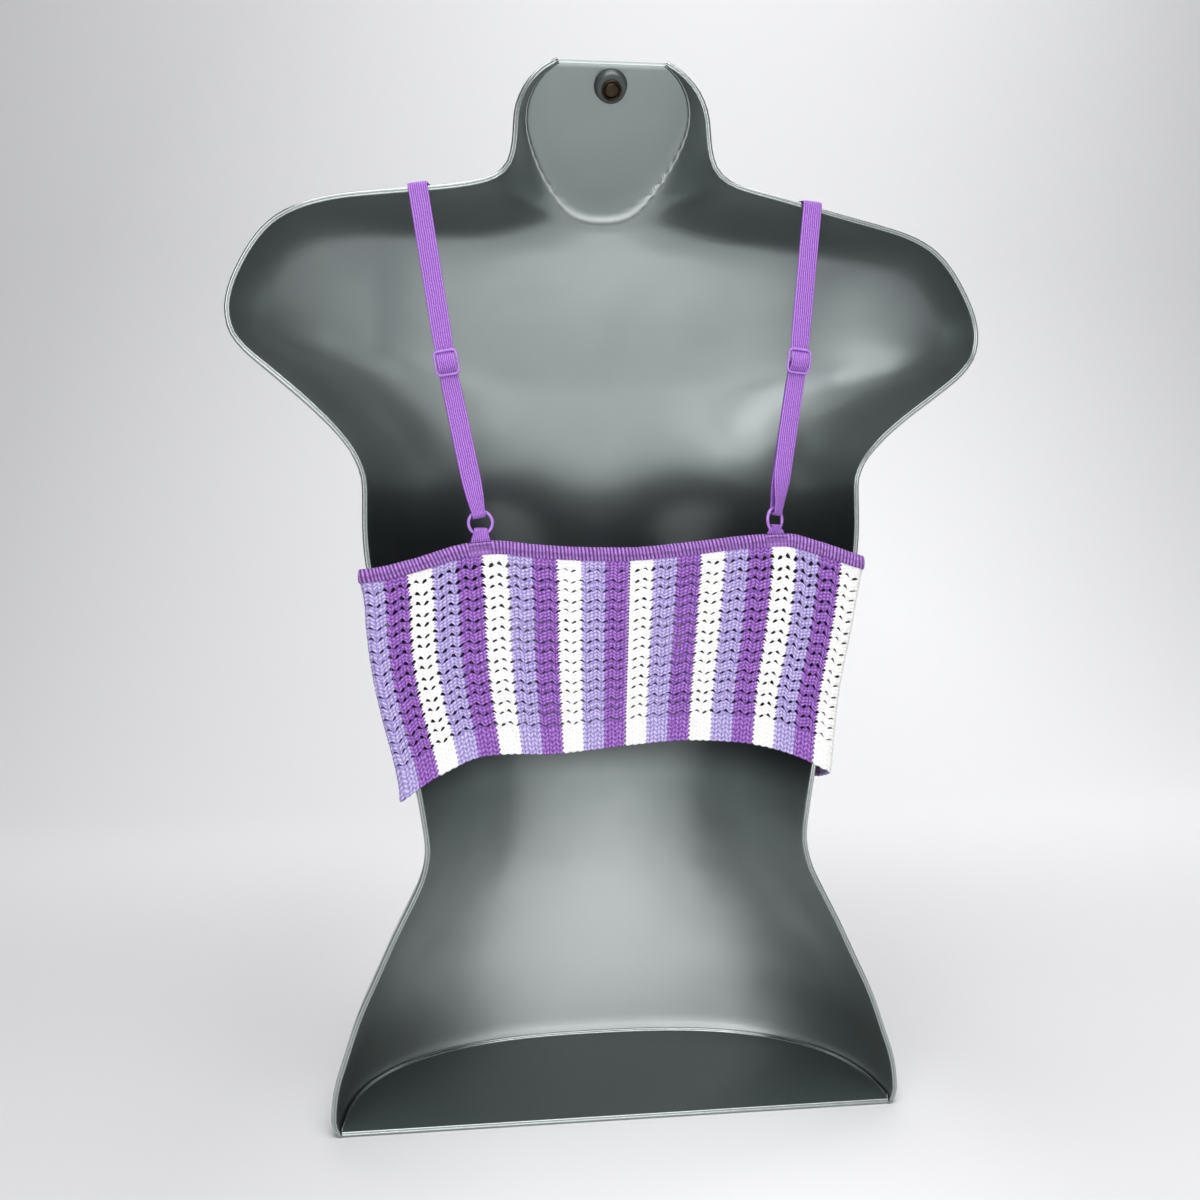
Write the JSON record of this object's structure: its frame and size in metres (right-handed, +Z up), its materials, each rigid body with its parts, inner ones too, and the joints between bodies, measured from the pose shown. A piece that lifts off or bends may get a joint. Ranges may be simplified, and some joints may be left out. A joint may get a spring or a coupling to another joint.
{
  "type": "knit crop top on a hollow-back torso form",
  "caption": "Striped openwork knit crop top with ribbed top band and adjustable straps, worn on a smooth hollow-back torso form that stands on a flat base.",
  "frame": {"origin": "the middle of the whole part's box, at the underside of the base", "axes": "+X to the right of someone who looks at the form's open back, +Y from the open back to the figure's front, +Z up"},
  "size_m": [0.4, 0.1463, 0.563],
  "materials": {
    "form_plastic": "dark grey moulded plastic, glossy with faint ripples",
    "dull_brass": "dull, slightly brown threaded end",
    "striped_knit": "openwork knit in purple, lilac and white yarn, matt with a soft sheen",
    "purple_rib": "fine purple rib knit, matt with a soft sheen",
    "purple_gloss": "glossy purple coating over wire"
  },
  "bodies": {
    "root": {"form_shell": "form_plastic", "form_base": "form_plastic", "neck_boss": "form_plastic", "neck_screw": "dull_brass", "back_panel": "striped_knit", "front_panel": "striped_knit", "band_back": "purple_rib", "band_front": "purple_rib", "strap_left": "purple_rib", "strap_right": "purple_rib", "tab_left": "purple_rib", "tab_right": "purple_rib", "ring_left": "purple_gloss", "ring_right": "purple_gloss", "slider_left": "purple_gloss", "slider_right": "purple_gloss"}
  },
  "joints": []
}
